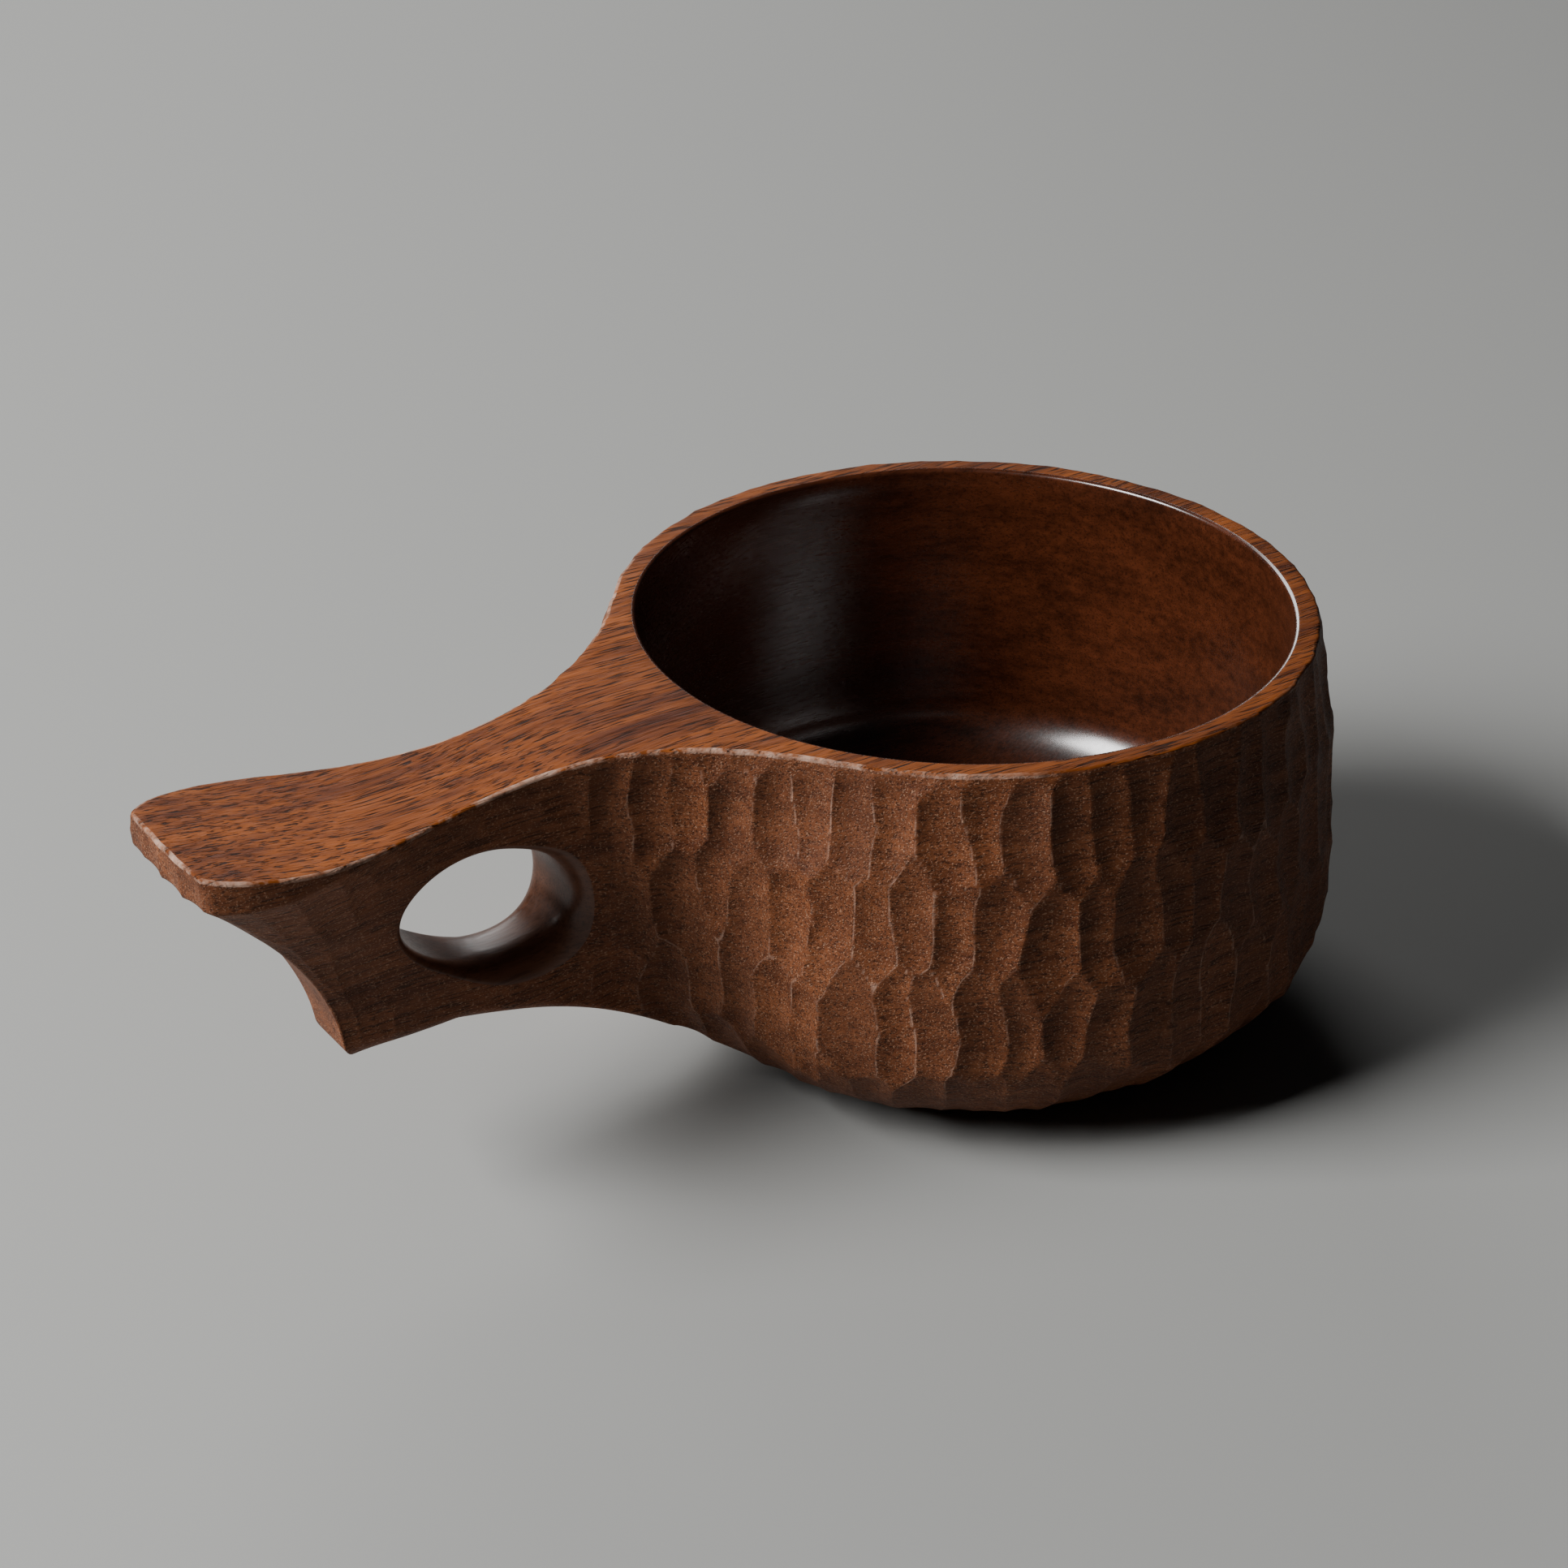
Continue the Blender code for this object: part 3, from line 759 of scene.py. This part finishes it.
def walnut_grain():
    """Colour, pores and figure of the wood at a place in the block."""
    tree = bpy.data.node_groups.new("walnut grain", "ShaderNodeTree")
    new_socket = tree.interface.new_socket
    new_socket("Place", in_out="INPUT", socket_type="NodeSocketVector")
    for name in ("Light Wood", "Dark Wood", "Pore Colour"):
        new_socket(name, in_out="INPUT", socket_type="NodeSocketColor")
    for name in ("Figure", "Pores"):
        new_socket(name, in_out="INPUT", socket_type="NodeSocketFloat")
    new_socket("Colour", in_out="OUTPUT", socket_type="NodeSocketColor")
    new_socket("Pore Mask", in_out="OUTPUT", socket_type="NodeSocketFloat")
    new_socket("Fibre", in_out="OUTPUT", socket_type="NodeSocketFloat")
    given = add_node(tree, "NodeGroupInput").outputs

    # The block's growth layers wander a little from the straight.
    wander = add_node(tree, "ShaderNodeTexNoise", {"Vector": given["Place"], "Scale": 14.0, "Detail": 2.0})
    bend = vector_maths(tree, "SUBTRACT", wander.outputs["Color"], (0.5, 0.5, 0.5))
    bend = vector_maths(tree, "MULTIPLY", bend, (0.0, 0.010, 0.010))
    place = vector_maths(tree, "ADD", given["Place"], bend)

    def streaks(stretch, detail, seed):
        moved = vector_maths(tree, "MULTIPLY_ADD", place, stretch, (seed, seed * 0.7, seed * 1.3))
        return add_node(
            tree, "ShaderNodeTexNoise", {"Vector": moved, "Scale": 1.0, "Detail": detail, "Roughness": 0.6}
        ).outputs[0]

    layers = streaks((8.0, 75.0, 230.0), 3.0, 3.1)
    lines = streaks((24.0, 620.0, 900.0), 4.0, 11.7)
    fibre = streaks((170.0, 2600.0, 3200.0), 2.0, 5.3)
    mixed = maths(tree, "MULTIPLY_ADD", layers, 0.50, maths(tree, "MULTIPLY", lines, 0.50))
    tone = add_node(
        tree, "ShaderNodeMapRange", {"Value": mixed, "From Min": 0.37, "From Max": 0.62}
    ).outputs["Result"]
    flat_tone = maths(tree, "MULTIPLY_ADD", maths(tree, "SUBTRACT", tone, 0.5), given["Figure"], 0.5)
    colour = add_node(
        tree,
        "ShaderNodeMix",
        {"Factor": flat_tone, 6: given["Dark Wood"], 7: given["Light Wood"]},
        data_type="RGBA",
    ).outputs[2]
    pore = streaks((150.0, 2900.0, 3300.0), 2.0, 23.9)
    pore_mask = add_node(
        tree, "ShaderNodeMapRange", {"Value": pore, "From Min": 0.52, "From Max": 0.64}
    ).outputs["Result"]
    pore_mask = maths(tree, "MULTIPLY", pore_mask, given["Pores"])
    with_pores = add_node(
        tree, "ShaderNodeMix", {"Factor": pore_mask, 6: colour, 7: given["Pore Colour"]}, data_type="RGBA"
    ).outputs[2]
    add_node(tree, "NodeGroupOutput", {"Colour": with_pores, "Pore Mask": pore_mask, "Fibre": fibre})
    return tree


grain = walnut_grain()


def grained(material, light, dark, pore_colour, figure, pores):
    """Places the grain in a material. Returns its tree, its shader, the grain's node and the place."""
    tree = material.node_tree
    shader = tree.nodes["Principled BSDF"]
    place = add_node(tree, "ShaderNodeTexCoord").outputs["Object"]
    wood_grain = add_node(tree, "ShaderNodeGroup", node_tree=grain)
    tree.links.new(place, wood_grain.inputs["Place"])
    for name, value in (
        ("Light Wood", (*light, 1)),
        ("Dark Wood", (*dark, 1)),
        ("Pore Colour", (*pore_colour, 1)),
        ("Figure", figure),
        ("Pores", pores),
    ):
        wood_grain.inputs[name].default_value = value
    return tree, shader, wood_grain, place


def mask(tree, value, low, high, to_low=0.0, to_high=1.0):
    return add_node(
        tree,
        "ShaderNodeMapRange",
        {"Value": value, "From Min": low, "From Max": high, "To Min": to_low, "To Max": to_high},
    ).outputs["Result"]


def blend(tree, factor, first, second):
    colours = {"Factor": factor, 6: first, 7: second}
    return add_node(tree, "ShaderNodeMix", colours, data_type="RGBA").outputs[2]


def bump(tree, height, strength, distance):
    return add_node(
        tree, "ShaderNodeBump", {"Height": height, "Strength": strength, "Distance": distance}
    ).outputs["Normal"]


def wear_and_highlight_tree():
    """Wood rubbed pale along its edges, in broken lines; partly wear, partly a painted highlight."""
    tree = bpy.data.node_groups.new("edge wear and highlight", "ShaderNodeTree")
    new_socket = tree.interface.new_socket
    new_socket("Place", in_out="INPUT", socket_type="NodeSocketVector")
    for name in ("Colour", "Wear And Highlight Colour"):
        new_socket(name, in_out="INPUT", socket_type="NodeSocketColor")
    for name in ("Edge", "Narrowness", "Amount"):
        new_socket(name, in_out="INPUT", socket_type="NodeSocketFloat")
    new_socket("Colour", in_out="OUTPUT", socket_type="NodeSocketColor")
    given = add_node(tree, "NodeGroupInput").outputs
    breaks = add_node(
        tree,
        "ShaderNodeTexNoise",
        {"Vector": given["Place"], "Scale": 420.0, "Detail": 3.0, "Roughness": 0.7},
    ).outputs[0]
    patches = add_node(tree, "ShaderNodeTexNoise", {"Vector": given["Place"], "Scale": 45.0}).outputs[0]
    line = mask(tree, given["Edge"], given["Narrowness"], 1.0)
    kept = mask(tree, maths(tree, "MULTIPLY_ADD", patches, 0.9, breaks), 0.90, 1.20)
    amount = maths(tree, "MULTIPLY", maths(tree, "MULTIPLY", line, kept), given["Amount"])
    pale_edges = blend(tree, amount, given["Colour"], given["Wear And Highlight Colour"])
    add_node(tree, "NodeGroupOutput", {"Colour": pale_edges})
    return tree


edge_wear_and_highlight = wear_and_highlight_tree()


def point_value(tree, name):
    return add_node(tree, "ShaderNodeAttribute", attribute_name=name).outputs["Fac"]


# The pale colour of the edges: rubbed wear, and a painted highlight along them as well.
WEAR_AND_HIGHLIGHT_COLOUR = (0.50, 0.33, 0.25, 1)


def pale_wear_and_highlight(tree, place, colour, edge, narrowness, amount):
    """The colour with the edges that the named point value marks made pale by wear and painted highlight."""
    given = {
        "Place": place,
        "Colour": colour,
        "Wear And Highlight Colour": WEAR_AND_HIGHLIGHT_COLOUR,
        "Edge": point_value(tree, edge),
        "Narrowness": narrowness,
        "Amount": amount,
    }
    return add_node(tree, "ShaderNodeGroup", given, node_tree=edge_wear_and_highlight).outputs["Colour"]


def specks(tree, place, stretch, low, high):
    """Short bright or dark dashes of torn fibre, where a stretched noise peaks."""
    moved = vector_maths(tree, "MULTIPLY", place, stretch)
    noise = add_node(tree, "ShaderNodeTexNoise", {"Vector": moved, "Scale": 1.0, "Detail": 1.5}).outputs[0]
    return mask(tree, noise, low, high)


def planed_walnut(material):
    tree, shader, wood_grain, place = grained(
        material, (0.235, 0.062, 0.010), (0.060, 0.013, 0.003), (0.012, 0.003, 0.001), 1.0, 0.95
    )
    # A painted highlight and wear along the planed top edge.
    colour = pale_wear_and_highlight(tree, place, wood_grain.outputs["Colour"], "edge", 0.88, 0.75)
    tree.links.new(colour, shader.inputs["Base Color"])
    roughness = mask(tree, wood_grain.outputs["Fibre"], 0.3, 0.7, 0.52, 0.70)
    tree.links.new(roughness, shader.inputs["Roughness"])
    shader.inputs["Specular IOR Level"].default_value = 0.10
    height = maths(tree, "MULTIPLY_ADD", wood_grain.outputs["Pore Mask"], -1.0, wood_grain.outputs["Fibre"])
    tree.links.new(bump(tree, height, 0.6, 0.00016), shader.inputs["Normal"])


TORN_FIBRE = (0.50, 0.29, 0.18, 1)
DARK_TOOTH = (0.055, 0.017, 0.007, 1)
DEEP_CUT = (0.050, 0.018, 0.009, 1)


def carved_walnut(material):
    tree, shader, wood_grain, place = grained(
        material, (0.205, 0.068, 0.026), (0.078, 0.021, 0.007), (0.016, 0.005, 0.002), 0.9, 0.75
    )
    bright = specks(tree, place, (2900.0, 4600.0, 4300.0), 0.56, 0.74)
    tooth = specks(tree, place, (900.0, 1500.0, 1400.0), 0.40, 0.68)
    colour = wood_grain.outputs["Colour"]
    colour = blend(tree, maths(tree, "MULTIPLY", tooth, 0.35), colour, DARK_TOOTH)
    colour = blend(tree, maths(tree, "MULTIPLY", bright, 0.50), colour, TORN_FIBRE)
    tone = maths(tree, "MULTIPLY", point_value(tree, "cut_tone"), 0.35)
    colour = blend(tree, tone, colour, DEEP_CUT)
    # Pale lines along the ridges and the top edge: partly wear, partly a painted highlight.
    colour = pale_wear_and_highlight(tree, place, colour, "ridge", 0.50, 0.40)
    colour = pale_wear_and_highlight(tree, place, colour, "edge", 0.80, 0.75)
    tree.links.new(colour, shader.inputs["Base Color"])
    roughness = mask(tree, wood_grain.outputs["Fibre"], 0.3, 0.7, 0.46, 0.62)
    tree.links.new(roughness, shader.inputs["Roughness"])
    shader.inputs["Specular IOR Level"].default_value = 0.15
    height = maths(tree, "MULTIPLY_ADD", bright, 0.5, wood_grain.outputs["Fibre"])
    height = maths(tree, "MULTIPLY_ADD", wood_grain.outputs["Pore Mask"], -0.6, height)
    tree.links.new(bump(tree, height, 0.6, 0.00015), shader.inputs["Normal"])


def turned_walnut(material):
    tree, shader, wood_grain, place = grained(
        material, (0.080, 0.020, 0.007), (0.024, 0.006, 0.002), (0.007, 0.002, 0.001), 0.9, 0.5
    )
    tree.links.new(wood_grain.outputs["Colour"], shader.inputs["Base Color"])
    roughness = mask(tree, wood_grain.outputs["Fibre"], 0.3, 0.7, 0.22, 0.30)
    tree.links.new(roughness, shader.inputs["Roughness"])
    shader.inputs["Specular IOR Level"].default_value = 0.50
    shader.inputs["Coat Weight"].default_value = 1.0
    shader.inputs["Coat Roughness"].default_value = 0.20
    tree.links.new(bump(tree, wood_grain.outputs["Fibre"], 0.10, 0.00006), shader.inputs["Normal"])


def rubbed_walnut(material):
    tree, shader, wood_grain, place = grained(
        material, (0.140, 0.055, 0.029), (0.055, 0.019, 0.009), (0.014, 0.005, 0.003), 0.8, 0.4
    )
    tree.links.new(wood_grain.outputs["Colour"], shader.inputs["Base Color"])
    roughness = mask(tree, wood_grain.outputs["Fibre"], 0.3, 0.7, 0.30, 0.42)
    tree.links.new(roughness, shader.inputs["Roughness"])
    shader.inputs["Specular IOR Level"].default_value = 0.30
    tree.links.new(bump(tree, wood_grain.outputs["Fibre"], 0.2, 0.00008), shader.inputs["Normal"])


planed_walnut(wood["planed"])
carved_walnut(wood["carved"])
turned_walnut(wood["turned"])
rubbed_walnut(wood["rubbed"])


# ---- Studio --------------------------------------------------------------------------------------
# The cup stands on a wide pale floor. A window-like softbox stands to its left and a little behind,
# and a dimmer one behind it; the rest is faint fill. The camera looks down past the handle's side.


def studio_floor():
    bpy.ops.mesh.primitive_plane_add(size=12)
    floor = bpy.context.object
    floor.name = "studio_floor"
    material = bpy.data.materials.new("pale floor")
    material.use_nodes = True
    shader = material.node_tree.nodes["Principled BSDF"]
    shader.inputs["Base Color"].default_value = (0.29, 0.29, 0.28, 1)
    shader.inputs["Roughness"].default_value = 0.8
    floor.data.materials.append(material)
    return floor


def softbox(name, place, size, power, target=(0, 0, 0.03)):
    light = bpy.data.lights.new(name, "AREA")
    light.shape = "RECTANGLE"
    light.size, light.size_y = size
    light.energy = power
    lamp = bpy.data.objects.new(name, light)
    lamp.location = place
    lamp.rotation_euler = (Vector(target) - Vector(place)).to_track_quat("-Z", "Y").to_euler()
    bpy.context.scene.collection.objects.link(lamp)
    return lamp


studio_floor()
softbox("window", (-0.91, 0.22, 0.76), (0.60, 0.50), 31)
softbox("back_light", (0.30, 1.05, 0.56), (0.7, 0.45), 6)

world = bpy.data.worlds.new("studio fill")
world.use_nodes = True
world.node_tree.nodes["Background"].inputs["Color"].default_value = (0.90, 0.95, 1.0, 1)
world.node_tree.nodes["Background"].inputs["Strength"].default_value = 0.012
bpy.context.scene.world = world

camera_data = bpy.data.cameras.new("camera")
camera_data.lens = 85
camera_data.sensor_width = 36
camera = bpy.data.objects.new("camera", camera_data)
camera.location = (-0.2730, -0.3716, HEIGHT + 0.2273)
camera.rotation_euler = (math.radians(60.95), 0, math.radians(-33.2))
bpy.context.scene.collection.objects.link(camera)
bpy.context.scene.camera = camera
